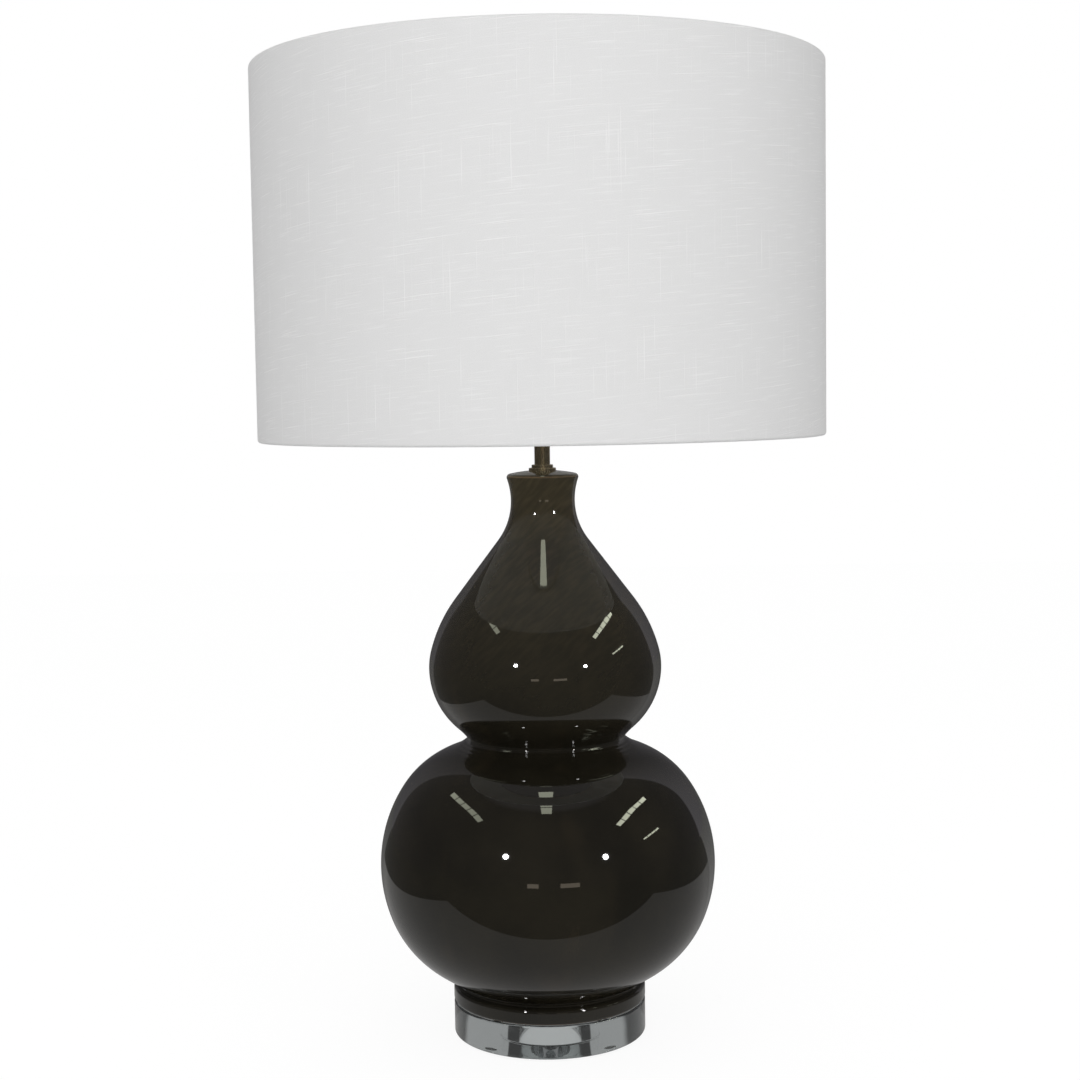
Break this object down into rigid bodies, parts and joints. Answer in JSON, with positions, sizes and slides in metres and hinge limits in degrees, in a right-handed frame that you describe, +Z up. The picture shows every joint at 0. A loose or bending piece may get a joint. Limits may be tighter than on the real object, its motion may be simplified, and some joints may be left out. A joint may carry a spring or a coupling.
{
  "type": "table lamp",
  "caption": "Table lamp: dark glazed double gourd body on a clear crystal disc, bronze neck, white linen drum shade on a harp.",
  "frame": {"origin": "centre of the foot, on the surface the lamp stands on", "axes": "+Z up along the lamp's axis, -Y towards the front, the cord bushing at +Y, the harp's plane across X"},
  "size_m": [0.45, 0.45, 0.7853],
  "materials": {
    "clear_rubber": "clear soft bumper",
    "crystal": "polished clear crystal",
    "clear_vinyl": "thin clear vinyl",
    "zinc_steel": "bright zinc plate",
    "glaze": "dark olive brown gloss glaze, thinner and browner at the lip",
    "bushing_plastic": "black nylon",
    "bronze": "dark antique bronze, polished",
    "screw_brass": "plain brass",
    "contact_brass": "bright brass",
    "phenolic": "dark brown moulding",
    "insulating_card": "brown insulating card",
    "linen": "white slub linen",
    "shade_sheet": "white translucent sheet",
    "white_wire": "white powder coat",
    "bulb_black": "black glass insulator",
    "bulb_aluminium": "satin",
    "bulb_white": "white moulding",
    "frosted_globe": "frosted white"
  },
  "bodies": {
    "lamp_base": {"foot_pads": "clear_rubber", "crystal_base": "crystal", "base_gasket": "clear_vinyl", "base_washer": "zinc_steel", "lock_washer": "zinc_steel", "base_nut": "zinc_steel", "lamp_rod": "zinc_steel", "gourd_body": "glaze", "cord_bushing": "bushing_plastic", "check_ring": "bronze", "neck_tube": "bronze", "harp_saddle": "bronze", "socket_cap": "bronze", "socket_set_screw": "screw_brass", "socket_body": "phenolic", "terminal_screws": "screw_brass", "screw_shell": "contact_brass", "centre_contact": "contact_brass", "socket_liner": "insulating_card", "socket_shell": "bronze", "switch_bushing": "phenolic"},
    "harp": {"harp": "bronze"},
    "ferrule_left": {"harp_ferrule_left": "bronze"},
    "ferrule_right": {"harp_ferrule_right": "bronze"},
    "swivel": {"harp_swivel": "bronze"},
    "shade": {"shade_cover": "linen", "shade_liner": "shade_sheet", "shade_top_ring": "white_wire", "shade_bottom_ring": "white_wire", "spider_hub": "white_wire", "spider_arms": "white_wire"},
    "finial": {"finial": "bronze"},
    "bulb": {"bulb_contact": "contact_brass", "bulb_insulator": "bulb_black", "bulb_cap": "bulb_aluminium", "bulb_housing": "bulb_white", "bulb_globe": "frosted_globe"},
    "switch": {"switch_shaft": "zinc_steel", "switch_knob": "phenolic"}
  },
  "joints": [
    {"name": "harp_lift", "type": "slide", "parent": "lamp_base", "child": "harp", "axis": [0, 0, 1], "range_m": [0, 0.012]},
    {"name": "ferrule_left_lift", "type": "slide", "parent": "harp", "child": "ferrule_left", "axis": [0, 0, 1], "range_m": [0, 0.012]},
    {"name": "ferrule_right_lift", "type": "slide", "parent": "harp", "child": "ferrule_right", "axis": [0, 0, 1], "range_m": [0, 0.012]},
    {"name": "swivel_turn", "type": "hinge", "parent": "harp", "child": "swivel", "pos_m": [0, 0, 0.7565], "axis": [0, 0, 1], "continuous": true},
    {"name": "shade_lift", "type": "slide", "parent": "swivel", "child": "shade", "axis": [0, 0, 1], "range_m": [0, 0.3]},
    {"name": "finial_lift", "type": "slide", "parent": "shade", "child": "finial", "axis": [0, 0, 1], "range_m": [0, 0.03]},
    {"name": "bulb_lift", "type": "slide", "parent": "lamp_base", "child": "bulb", "axis": [0, 0, 1], "range_m": [0, 0.045]},
    {"name": "switch_turn", "type": "hinge", "parent": "lamp_base", "child": "switch", "pos_m": [0, -0.0245, 0.55067], "axis": [0, -1, 0], "continuous": true}
  ]
}
